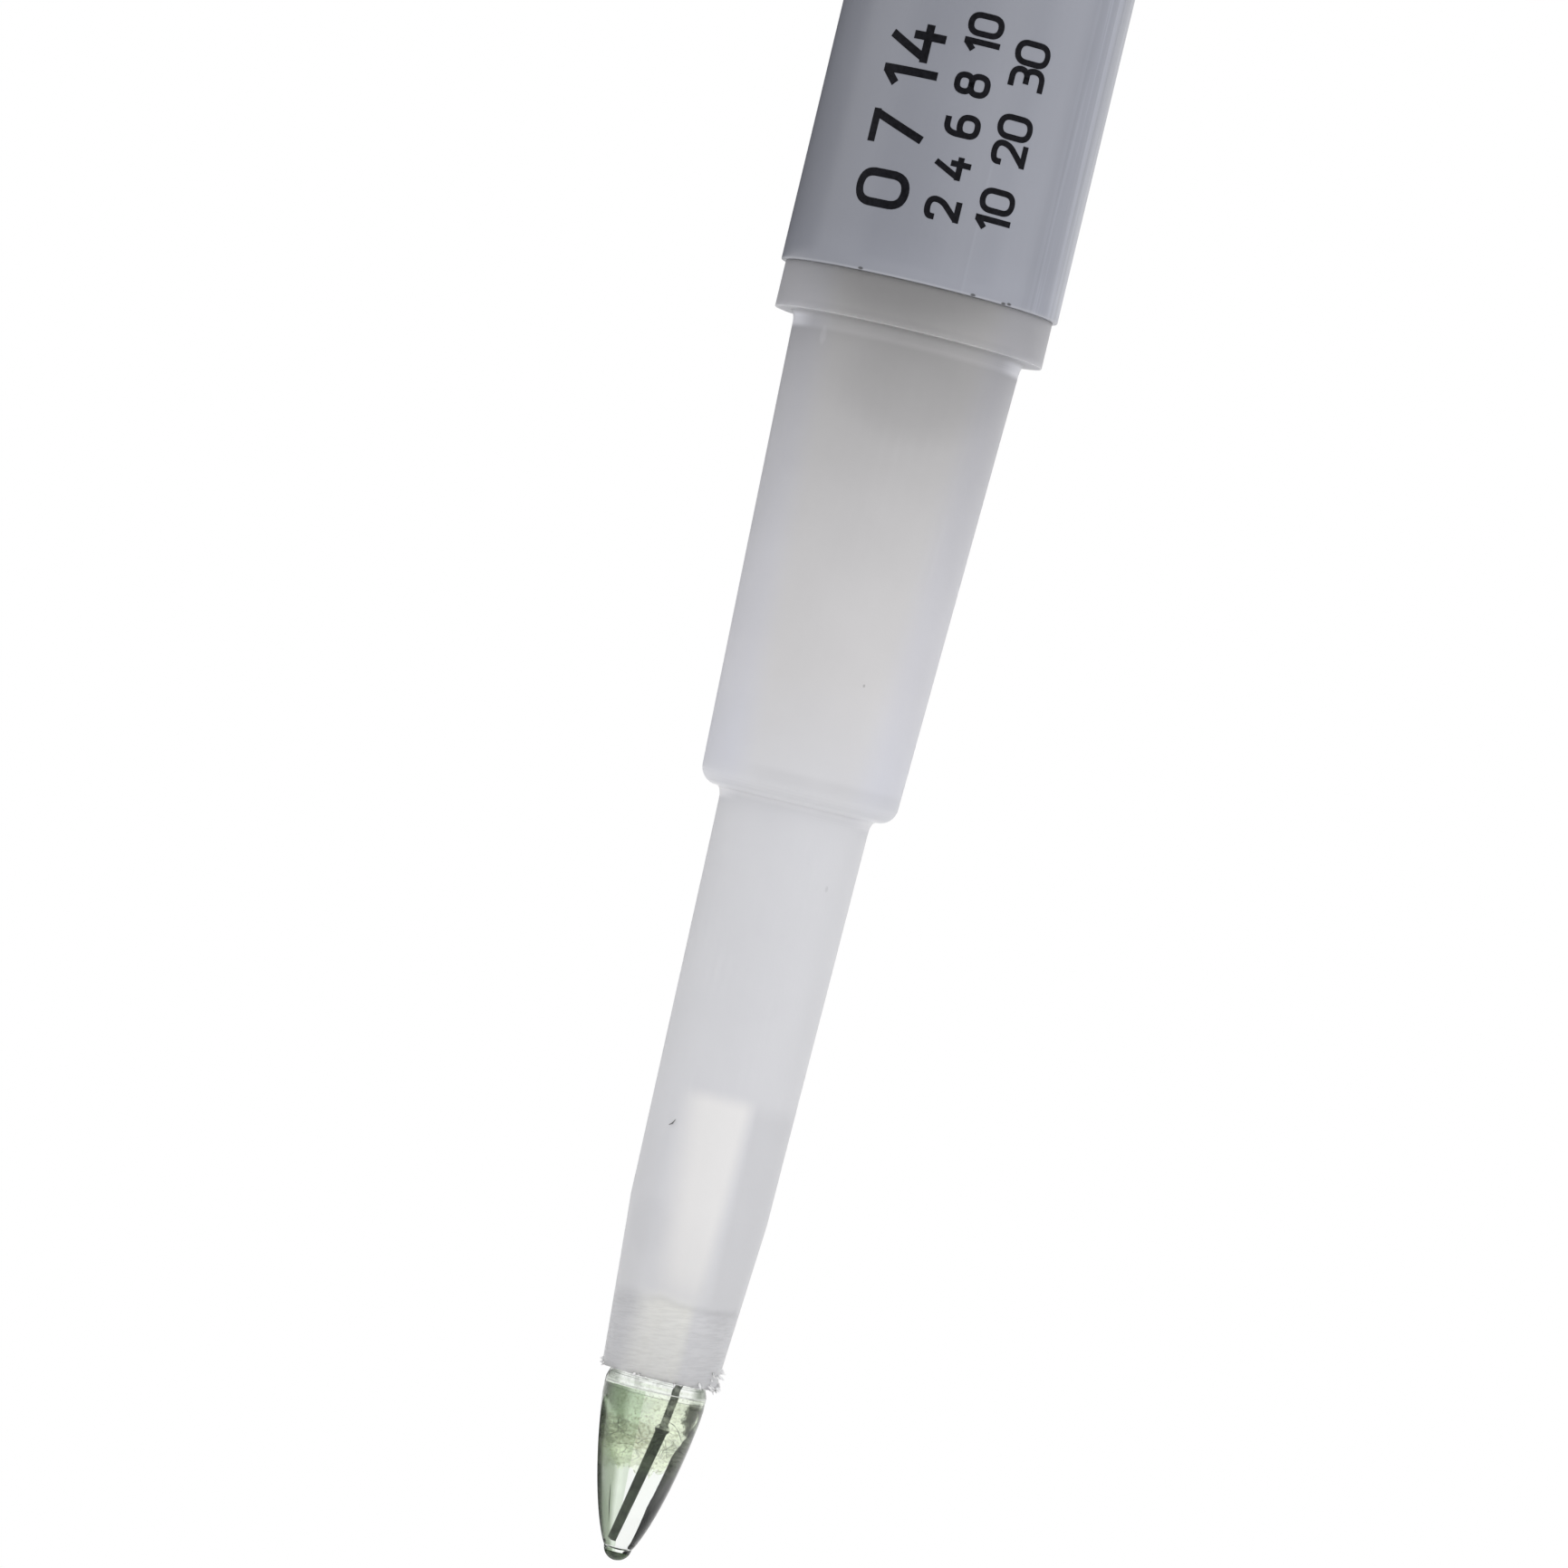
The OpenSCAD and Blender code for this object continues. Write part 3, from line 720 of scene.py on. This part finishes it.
class PROBE_OT_body(Operator):
    """Mould the milky plastic body, with its rough end, the marks of use, and painted light and
    shade
    """

    bl_idname = "probe.body"
    bl_label = "Body"

    def execute(self, context):
        sizes = in_mm(context.scene.probe_body)
        finish = Finish("milky_plastic")
        clouds = finish.grain(0.22, 3.0)
        front = finish.y.below(0, 2)
        shade = self.contents(finish, sizes, clouds, front)
        shade, rough_end = self.rough_nose(finish, sizes, shade, clouds, front)
        shade = self.rims(finish, shade)
        # Painted shade: the first two spots darken the front of the collar and the barrel's top,
        # where dark resin lies behind. Then a dark speck, a light scratch and a dark dot, and two
        # soft darker patches at the front left of the stem and its end.
        for at, radius, stretch, depth in (
            ((-1.0, -8.0, 79.5), 4.7, (0.75, 0.3, 1.1), 0.27),
            ((1.0, -6.9, 71.7), 2.8, (0.65, 0.3, 1.0), 0.09),
            ((2.25, -5.8, 54.1), 0.07, (1, 1, 0.8), 0.30),
            ((-4.9, -4.8, 73.7), 0.25, (1, 1, 0.5), -0.12),
            ((2.9, -3.4, 41.9), 0.11, (1, 1, 0.6), 0.11),
            ((-2.7, -3.0, 20.2), 1.3, (1, 0.5, 0.8), 0.035),
            ((-2.7, -2.6, 15.4), 1.1, (1, 0.5, 1.3), 0.05),
        ):
            shade = (1 - depth * finish.spot(at, radius, stretch)).tinted(shade)
        finish.set(Base_Color=shade, Roughness=0.4 + 0.12 * clouds, IOR=1.45,
                   Subsurface_Weight=1.0, Subsurface_Radius=(1.0, 1.0, 1.0),
                   Subsurface_Scale=sizes.milkiness * MM)
        finish.bump(finish.grain(6.0, 2.0) * 0.25 + rough_end, 0.012)
        wear(finish, "outer_body")
        self.fray(sizes)
        hair = tube([(-2.9, -3.14, 26.15), (-2.72, -3.29, 26.3), (-2.6, -3.39, 26.56)],
                    (0.015, 0.035, 0.012))
        dark = mottled("stuck_fibre", (0.05, 0.05, 0.05), (0.12, 0.12, 0.11), 6.0, 0.7)
        make_piece("stuck_fibre", *hair, dark, "body_plastic")
        return {"FINISHED"}

    def contents(self, finish, sizes, clouds, front):
        """Painted shade of the plastic over the gel and the resin, with the painted light of the
        glass tube and painted shade next to it.
        """
        x, z, top = finish.x, finish.z, 80
        stops = [(46, sizes.plastic, 1.0)]
        stops += [(h, sizes.shadow, k) for h, k in (
            (54, 1.66), (60, 1.56), (65, 1.42), (70, 1.22), (73, 1.08), (77, 0.96))]
        stops = [(h / top, tuple(c * k for c in base)) for h, base, k in stops]
        shade = finish.start.node("ValToRGB", {"stops": stops}, {"Fac": z / top})
        shade = (0.97 + 0.06 * clouds).tinted(shade)
        lean = x + 0.09 * (z - 22) + 0.5 * (clouds - 0.5)
        band = lean.above(-1.5, 1.05) * (x + 0.03 * (22 - z)).below(1.38, 0.5)
        bright = band * front * z.above(16.5, 2.0) * z.below(28.4, 0.6)
        # Painted shade next to the glass tube's light: darker to its right, and a little to its
        # left, at the front.
        painted_shade_beside = x.above(1.9, 0.3) * z.between(15.5, 28.2, 0.8)
        painted_shade_beside = painted_shade_beside + 0.4 * x.below(-2.6, 0.4) * z.between(15.5, 26.5, 2.0)
        shade = (1 - 0.08 * painted_shade_beside * front).tinted(shade)
        return bright.blend(shade, sizes.window)

    def rough_nose(self, finish, sizes, shade, clouds, front):
        """Shade with the torn and streaked end, painted shade at its sides and painted light from
        the glass tube at its front, and the streaks that the bump takes.
        """
        x = finish.x
        ragged = finish.z + 1.3 * (finish.grain(0.42, 4.0) - 0.5)
        # Painted shade: the end darker towards its sides, at the front.
        painted_side_shade = abs(x).above(2.1, 0.6) * ragged.below(15.9, 0.6)
        shade = (1 - 0.09 * painted_side_shade * front).tinted(shade)
        # Painted light: the glass tube's light, paler and warmer, on the front of the rough end.
        nose_light = ragged.below(16.1, 0.7) * x.below(1.0, 0.4) * x.above(-1.9, 1.0) * front
        shade = nose_light.blend(shade, sizes.nose_light)
        slanted = finish.start.node("Mapping", {"vector_type": "TEXTURE"}, {
            "Vector": finish.place, "Rotation": (0, radians(-9), 0),
            "Scale": (1.5, 1.5, 0.2)})
        streaks = finish.grain(1.3, 6.0, slanted, rough=0.7)
        end = ragged.below(15.8, 0.5)
        shade = (1 - 0.11 * end * streaks.above(0.52, 0.12)).tinted(shade)
        joint = ragged.between(15.75, 16.15, 0.2) * x.above(-1.6, 0.5) * front
        shade = (1 - 0.11 * joint * clouds.above(0.3, 0.3)).tinted(shade)
        return shade, streaks * end

    def rims(self, finish, shade):
        """Shade with painted highlights on the rims of the barrel and the collar, painted shade
        over the barrel's foot and on the collar's lower edge, and a painted bluer tint at the
        sides.
        """
        x, z = finish.x, finish.z
        # Painted shade over the barrel's foot, from the middle to the right.
        foot = z.between(46.55, 48.1, 0.25) * x.above(-3.0, 1.5)
        shade = (1 - 0.06 * foot).tinted(shade)
        sides = (abs(x) - 0.076 * z).above(0.6, 0.7)
        # Painted highlights on the rims under the barrel and the collar, strongest at the sides.
        rims = z.between(45.8, 46.5, 0.15) * (0.05 + 0.26 * z.above(46.1, 0.15) + 0.49 * sides)
        rims = rims + z.between(74.1, 74.85, 0.2) * (0.17 + 0.6 * sides)
        shade = rims.blend(shade, (0.95, 0.95, 0.97))
        # Painted shade on the collar's lower edge, towards the middle.
        edge = finish.from_axis().above(7.85, 0.1) * z.above(74.9, 0.1) * (1 - sides)
        edge = edge * (0.06 * z.below(75.5, 0.15) + 0.1 * z.below(75.15, 0.1))
        shade = (1 - edge).tinted(shade)
        # Painted light: the sides, as seen from the front, tinted bluer than the middle.
        painted_cool_sides = (abs(x) - 0.05 * z).above(1.2, 1.0) * z.above(47, 2)
        return shade.vector("MULTIPLY", painted_cool_sides.blend((1.0, 0.995, 0.99), (0.985, 0.99, 1.03)))

    def fray(self, sizes):
        """Torn lip of the cut end, with burrs, most of them to the right."""
        rng = random.Random(7)
        end = low("outer_body")

        def torn(turn, radius, height):
            if height >= end:
                return radius, height
            rag = noise.fractal(Vector((sin(turn), cos(turn), 0.3)) * 9, 1, 2, 4)
            return radius + 0.02 * rag, height - 0.08 * rag

        lip = [(LIP_INNER_R, end + 0.1), (LIP_INNER_R, end - 0.03),
               (LIP_INNER_R + 0.12, end - 0.05), (LIP_OUTER_R - 0.02, end - 0.02),
               (LIP_OUTER_R, end + 0.1)]
        parts = [turned(lip, 220, torn)]
        for i in range(sizes.fray_count + sizes.left_count):
            left = i >= sizes.fray_count
            right = not left and rng.random() < 0.62
            middle, spread, rise = (-92, 12, 0.25) if left else (88, 24, 0.55)
            torn_off = left or right
            turn = radians(rng.gauss(middle, spread) if torn_off else rng.uniform(-180, 180))
            climb = abs(rng.gauss(0, rise)) if torn_off else rng.uniform(-0.05, 0.12)
            z = end + min(climb, 1.5)
            root = Vector(on_turn(turn, LIP_OUTER_R - 0.03 + 0.06 * (z - end), z))
            reach = rng.uniform(0.14, 0.42) if right else rng.uniform(0.1, 0.26)
            out = Vector((root.x, root.y, 0)).normalized()
            side = Vector((0, 0, 1)).cross(out)
            bend = out * rng.uniform(0.6, 1) + side * rng.uniform(-0.5, 0.5)
            bend = (bend + Vector((0, 0, rng.uniform(-0.9, 0.2)))).normalized()
            path = [root, root + bend * reach * 0.55, root + bend * reach + Vector((0, 0, -0.05))]
            thick = rng.uniform(0.05, 0.11)
            parts.append(tube(path, (thick, thick * 0.8, thick * 0.2)))
        milk = mottled("torn_plastic", (0.84, 0.84, 0.85), (0.96, 0.96, 0.97), 3.0, 0.5)
        milk.set(Subsurface_Weight=0.6, Subsurface_Radius=(1.0, 1.0, 1.0),
                 Subsurface_Scale=0.3 * MM)
        make_piece("frayed_edge", *gathered(parts), milk, "body_plastic")


class PROBE_OT_inside(Operator):
    """Finish the gel, the stoppers and what closes the body"""

    bl_idname = "probe.inside"
    bl_label = "Inside"

    def execute(self, context):
        wear(mottled("gel", (0.80, 0.82, 0.80), (0.88, 0.88, 0.86), 0.5, 0.2), "reference_gel")
        wear(mottled("bung_rubber", (0.10, 0.10, 0.10), (0.16, 0.155, 0.15), 1.5, 0.7),
             "stem_stopper", "body_bung")
        wear(mottled("resin", (0.03, 0.03, 0.03), (0.06, 0.055, 0.05), 0.6, 0.25), "potting")
        wear(mottled("lead_plastic", (0.74, 0.74, 0.72), (0.84, 0.84, 0.82), 1.5, 0.4),
             "sensing_lead_sleeve", "reference_lead_sleeve", "centring_ring")
        wear(mottled("ferrule_brass", (0.55, 0.40, 0.17), (0.74, 0.58, 0.28), 2.0, 0.3,
                     Metallic=1.0), "core_ferrule", "screen_ferrule")
        for name in ("reference_gel", "potting", "body_bung", "centring_ring", "stem_stopper"):
            slack(name)
        return {"FINISHED"}


class PROBE_OT_head(Operator):
    """Finish the head's shell and its bush, and shrink the sleeve round them"""

    bl_idname = "probe.head"
    bl_label = "Head"

    def execute(self, context):
        sizes = in_mm(context.scene.probe_sleeve)
        shell = mottled("head_plastic", (0.20, 0.21, 0.235), (0.235, 0.245, 0.27), 1.2, 0.42, 0.012)
        wear(shell, "head_shell")
        wear(mottled("bush_rubber", (0.016, 0.016, 0.018), (0.03, 0.03, 0.032), 2.0, 0.6, 0.02),
             "cable_inlet_bush")
        outer = width("label_sleeve") - sizes.inset
        foot = low("label_sleeve")
        curl = degrees(sizes.curl)
        inside = SHOULDER_R + 0.02
        shoulder_z = high("label_sleeve") - (outer - NECK_R) * sin(sizes.curl)
        outline = [(outer - 0.09, foot), (outer - 0.03, foot + 0.015), (outer, foot + 0.06)]
        outline += arc(NECK_R, shoulder_z, outer - NECK_R, outer - NECK_R, 0, curl)
        outline += arc(NECK_R, shoulder_z, inside, inside, 0, curl)[::-1]
        outline += [(NECK_R + inside, foot)]

        def shrunk(turn, radius, height):
            if radius < outer - 0.1 and height < shoulder_z:
                return radius, height
            crease_at = exp(-((turn - radians(65)) / radians(9)) ** 2)
            wave = noise.noise(Vector((turn * 26, 0, height * 0.012)))
            slow = noise.noise(Vector((sin(turn) * 2, cos(turn) * 2, height * 0.05)))
            return radius - sizes.flute * crease_at * abs(wave) - 0.02 * abs(slow), height

        film = self.film(sizes, outer, foot)
        sleeve = turned(filled(outline, 1.1), 288, shrunk)
        piece = make_piece("sleeve", *sleeve, film, "sleeve_plastic", "label_sleeve")
        crease(piece)
        return {"FINISHED"}

    def film(self, sizes, outer, foot):
        """Shrink film, painted grey with shade over its white, with fine drawn streaks, a seam and
        a pale cut edge. Painted light makes it lighter to the right and puts streaked highlights
        along its right edge; it is also lighter towards its foot.
        """
        finish = Finish("sleeve_film")
        x, z = finish.x, finish.z
        clouds = finish.grain(0.12, 3.0)
        drawn = finish.grain(1.0, 3.0, finish.stretched(2.6, 2.6, 0.05))
        # Painted light: the film gets lighter from left to right.
        gain = 0.95 + 0.1 * clouds + 0.02 * x
        # Painted highlights: light vertical streaks along the film's right edge.
        lines = finish.grain(3.2, 2.0, finish.stretched(1, 0, 0.01)).above(0.55, 0.05)
        gain = gain * (0.985 + 0.03 * drawn) + 0.22 * x.above(6.6, 0.6) * lines
        # Lighter towards the foot, and a painted highlight as a lighter band along the right edge.
        gain = gain + 0.06 * z.below(foot + 1.8, 1.2) + 0.13 * x.between(6.8, 7.85, 0.3)
        front = z.below(87, 3) * finish.y.below(0, 1)
        seam = abs(x - 2.4).below(0.07, 0.05) + 0.5 * x.between(2.4, 6.0, 0.1)
        shade = (gain + 0.05 * seam * front).tinted(sizes.film)
        shade = (0.45 * z.below(foot + 0.12, 0.05)).blend(shade, (0.5, 0.51, 0.55))
        for right, up in ((-3.7, 0.1), (3.1, 0.08), (4.97, 0.06), (5.3, 0.12)):
            nick = (right, -sqrt(outer ** 2 - right * right), foot + up)
            shade = (0.85 * finish.spot(nick, 0.16, (1, 1, 2))).blend(shade, (0.03, 0.03, 0.03))
        finish.set(Base_Color=shade, Roughness=0.26 + 0.1 * clouds, IOR=1.5)
        return finish.bump(drawn * 0.5 + finish.grain(4.0, 2.0) * 0.2, 0.012)


def rounded(corners, closed, steps=7):
    """A stroke's line with each corner (x, y, radius) rounded off."""
    line = []
    count = len(corners)
    for i, (x, y, radius) in enumerate(corners):
        here = Vector((x, y))
        if not closed and i in (0, count - 1) or radius == 0:
            line.append(here)
            continue
        ways = (Vector(corners[(i + k) % count][:2]) - here for k in (-1, 1))
        start, end = (here + way.normalized() * min(radius, way.length * 0.5) for way in ways)
        bulge = here.lerp((start + end) / 2, 0.12)
        for k in range(steps + 1):
            t = k / steps
            line.append(start * (1 - t) ** 2 + bulge * 2 * t * (1 - t) + end * t * t)
    return line


def stroke(line, half, closed):
    """Both edges of a stroke of a half width along a line."""
    edges = []
    count = len(line)
    for i, here in enumerate(line):
        before = line[i - 1] if closed or i else here
        after = line[(i + 1) % count] if closed or i < count - 1 else here
        first, last = here - before, after - here
        first = first.normalized() if first.length else last.normalized()
        last = last.normalized() if last.length else first
        across = (Vector((-first.y, first.x)) + Vector((-last.y, last.x))).normalized()
        reach = half / max(0.55, across.dot(Vector((-last.y, last.x))))
        edges.append((here + across * reach, here - across * reach))
    return edges


class PROBE_OT_print(Operator):
    """Print three rows of plain figures on the sleeve"""

    bl_idname = "probe.print"
    bl_label = "Print"

    def execute(self, context):
        sizes = in_mm(context.scene.probe_sleeve)
        ink = mottled("ink", sizes.ink, tuple(2 * c for c in sizes.ink), 4.0, 0.45, 0.004,
                      Specular_IOR_Level=0.08)
        radius = width("label_sleeve") - 0.003
        for name, row, first, last, ends, thick in (
            ("figures_large", sizes.large, -36.8, -13.3, (81.6, 92.8), 0.50),
            ("figures_middle", sizes.middle, -6.1, 8.5, (81.6, 94.1), 0.36),
            ("figures_small", sizes.small, 14.8, 30.3, (81.6, 93.2), 0.36),
        ):
            tall = radians(last - first) * radius - thick
            base = radians(last) - thick / 2 / radius
            parts = self.row(row, tall, base, ends, thick, radius)
            crease(make_piece(name, *gathered(parts), ink, "sleeve_plastic"))
        return {"FINISHED"}

    def row(self, text, tall, base, ends, thick, radius):
        """The strokes of a row, spread so that it fills the space between its ends."""
        drawn = sum(DIGITS[c][0] for c in text if c != " ") * tall
        tight = sum(a != " " and b != " " for a, b in zip(text, text[1:])) * LETTER_GAP * tall
        space = (ends[1] - ends[0] - thick - drawn - tight) / text.count(" ")
        pen = ends[0] + thick / 2
        parts = []
        for i, figure in enumerate(text):
            if figure == " ":
                pen += space
                continue
            wide, strokes = DIGITS[figure]
            for corners, closed in strokes:
                line = filled(rounded(corners, closed), 0.3 / tall, closed)
                line = [Vector(point) for point in line]
                parts.append(wrapped(stroke(line, thick / 2 / tall, closed), closed,
                                     pen, tall, base, radius))
            pen += wide * tall
            if i + 1 < len(text) and text[i + 1] != " ":
                pen += LETTER_GAP * tall
        return parts


def wrapped(edges, closed, pen, tall, base, radius):
    """A thin slab of ink in the shape of a stroke, wrapped round the sleeve."""
    points = []
    for left, right in edges:
        for lift in (0.0, -0.02):
            for spot in (left, right):
                turn = base - spot.y * tall / radius
                points.append(on_turn(turn, radius + lift, pen + spot.x * tall))
    faces = []
    count = len(edges)
    for i in range(count if closed else count - 1):
        a, b = 4 * i, 4 * ((i + 1) % count)
        for first, last in ((0, 1), (1, 3), (3, 2), (2, 0)):
            faces.append((a + first, a + last, b + last, b + first))
    if not closed:
        faces += [(0, 1, 3, 2), tuple(4 * (count - 1) + k for k in (0, 1, 3, 2))]
    return points, faces


class PROBE_OT_stage(Operator):
    """Set the camera, the white room, the key light, the cards and the floor"""

    bl_idname = "probe.stage"
    bl_label = "Stage"

    def execute(self, context):
        stage = in_mm(context.scene.probe_stage)
        scene = context.scene
        scene.view_settings.view_transform = "Standard"
        lens = bpy.data.cameras.new("camera")
        lens.sensor_width = 36.0
        lens.lens = stage.focal
        lens.clip_start, lens.clip_end = 0.01, 30.0
        place = Vector((-stage.across, -stage.away, stage.camera_z)) * MM
        upright = Quaternion((1, 0, 0), radians(90))
        scene.camera = placed(lens, place, upright @ Quaternion((0, 0, 1), stage.roll))
        self.room(scene, stage)
        scene.cycles.max_bounces = 24
        scene.cycles.diffuse_bounces = 8
        scene.cycles.transmission_bounces = 20
        scene.cycles.transparent_max_bounces = 24
        lamp = bpy.data.lights.new("key", "AREA")
        lamp.shape = "DISK"
        lamp.size = 0.7
        lamp.energy = stage.key
        place, aim = Vector((0.35, -0.8, 0.45)), Vector((0, 0, 0.05))
        placed(lamp, place, (aim - place).to_track_quat("-Z", "Y"))
        dark = self.card_finish("dark_card", (0.0, (0.004,) * 3), (1.0, (0.008,) * 3))
        veil = self.card_finish("veil_card", (0.20, PALE_GREEN), (0.31, (0.40, 0.47, 0.36)),
                                (0.53, (0.29, 0.35, 0.26)), (0.73, (0.15, 0.18, 0.13)),
                                (0.92, (0.04, 0.05, 0.035)), pale=(23, 33, 5))
        self.card("left_slope", -1, 18, 24, dark, foot=35, rise=19)
        self.card("left_card", -1, 24, 78, dark, foot=35)
        self.card("right_card", 1, 50, 88, dark)
        self.card("right_veil", 1, 5, 50, veil).visible_glossy = False
        self.card("left_rim", -1, 3, 18, dark).visible_transmission = False
        low_rim = self.card("low_rim", -1, 0, 60, dark, 0.06, 0.04, 1 - stage.floor_drop)
        low_rim.visible_transmission = False
        for name, side in (("flag_left", -1), ("flag_right", 1)):
            self.card(name, side, 125, 180, dark, 0.9, 0.9).visible_transmission = False
        self.floor(-stage.floor_drop)
        return {"FINISHED"}

    def room(self, scene, stage):
        """White where it is seen, and a little less as light."""
        world = bpy.data.worlds.new("white_room")
        world.use_nodes = True
        scene.world = world
        tree = world.node_tree
        back = tree.nodes["Background"]
        seen = rays_that_see(Socket(tree))
        tree.links.new((stage.room + (1 - stage.room) * seen).source, back.inputs["Strength"])
        back.inputs["Color"].default_value = (1, 1, 1, 1)

    def card_finish(self, name, *stops, pale=None):
        """A dull finish, shaded by the tangent of the angle from straight behind the probe.

        It is paler over a stretch of its height (first, last, softness), and leaves out the
        light that has already met a dull surface."""
        finish = Finish(name)
        tangent = abs(finish.x / finish.y)
        shade = finish.start.node("ValToRGB", {"stops": stops}, {"Fac": tangent})
        if pale:
            shade = (0.7 * finish.z.between(*pale)).blend(shade, PALE_GREEN)
        finish.set(Base_Color=shade, Roughness=0.9, Specular_IOR_Level=0.0)
        met = finish.start.node("LightPath", out="Diffuse Depth").above(0.5, 0.1)
        return finish.use(finish.mixed(met, finish.own, finish.filter_of((1, 1, 1))))

    def card(self, name, side, first, last, finish, reach=0.4, tall=0.42, foot=-20, rise=0):
        """An upright card round the probe, which only its glass and its gloss show.

        Its lower edge starts higher by a rise, and comes down to the foot."""
        count = 10
        points = []
        for i in range(count + 1):
            turn = radians(first + (last - first) * i / count)
            x, y = side * reach * sin(turn) / MM, reach * cos(turn) / MM
            points += [(x, y, foot + rise * (1 - i / count)), (x, y, foot + tall / MM)]
        faces = [(2 * i, 2 * i + 1, 2 * i + 3, 2 * i + 2) for i in range(count)]
        made = new_object(name, points, faces, finish)
        made.visible_camera = made.visible_diffuse = made.visible_shadow = False
        return made

    def floor(self, height):
        """A pale floor that keeps the shadow near the probe and runs out to white."""
        finish = Finish("floor")
        mild = finish.grain(0.004, 2.0)
        finish.set(Base_Color=mild.blend((0.86, 0.86, 0.86), (0.9, 0.9, 0.9)), Roughness=0.8,
                   Specular_IOR_Level=0.2)
        far = finish.from_axis().above(130, 90)
        white = finish.start.node("Emission", None, {"Color": (1, 1, 1, 1), "Strength": 1.0})
        finish.use(finish.mixed(far * rays_that_see(finish.start), finish.own, white))
        rings = (0.0, 60, 130, 220, 340, 600, 1500, 6000)
        disc = turned([(r, height) for r in rings], 96)
        new_object("floor", *disc, finish)


def placed(data, place, turn):
    """Puts a camera or a lamp at a place in metres, turned by a quaternion."""
    made = bpy.data.objects.new(data.name, data)
    made.location = place
    made.rotation_mode = "QUATERNION"
    made.rotation_quaternion = turn
    bpy.context.scene.collection.objects.link(made)
    return made


def rays_that_see(start):
    """1 for rays from the camera, off gloss and through glass, and 0 for light."""
    camera, glossy, through = (start.node("LightPath", out=f"Is {kind} Ray")
                               for kind in ("Camera", "Glossy", "Transmission"))
    return camera.most(glossy).most(through)


class PROBE_PT_panel(Panel):
    """Lists the pieces of the probe"""

    bl_label = "Probe"
    bl_idname = "PROBE_PT_panel"
    bl_space_type = "VIEW_3D"
    bl_region_type = "UI"
    bl_category = "Probe"

    def draw(self, context):
        for step in STEPS:
            self.layout.operator(step.bl_idname)


STEPS = (PROBE_OT_stage, PROBE_OT_glass, PROBE_OT_crust, PROBE_OT_wires, PROBE_OT_body,
         PROBE_OT_inside, PROBE_OT_head, PROBE_OT_print)
GROUPS = {"probe_glass": GlassSizes, "probe_body": BodySizes, "probe_sleeve": SleeveSizes,
          "probe_stage": StageSizes}
CLASSES = (*GROUPS.values(), *STEPS, PROBE_PT_panel)


def register():
    for cls in CLASSES:
        bpy.utils.register_class(cls)
    for name, group in GROUPS.items():
        setattr(bpy.types.Scene, name, PointerProperty(type=group))


def unregister():
    for name in GROUPS:
        delattr(bpy.types.Scene, name)
    for cls in reversed(CLASSES):
        bpy.utils.unregister_class(cls)


def main():
    register()
    for step in STEPS:
        getattr(bpy.ops.probe, step.bl_idname.split(".")[1])()


if __name__ == "__main__":
    main()
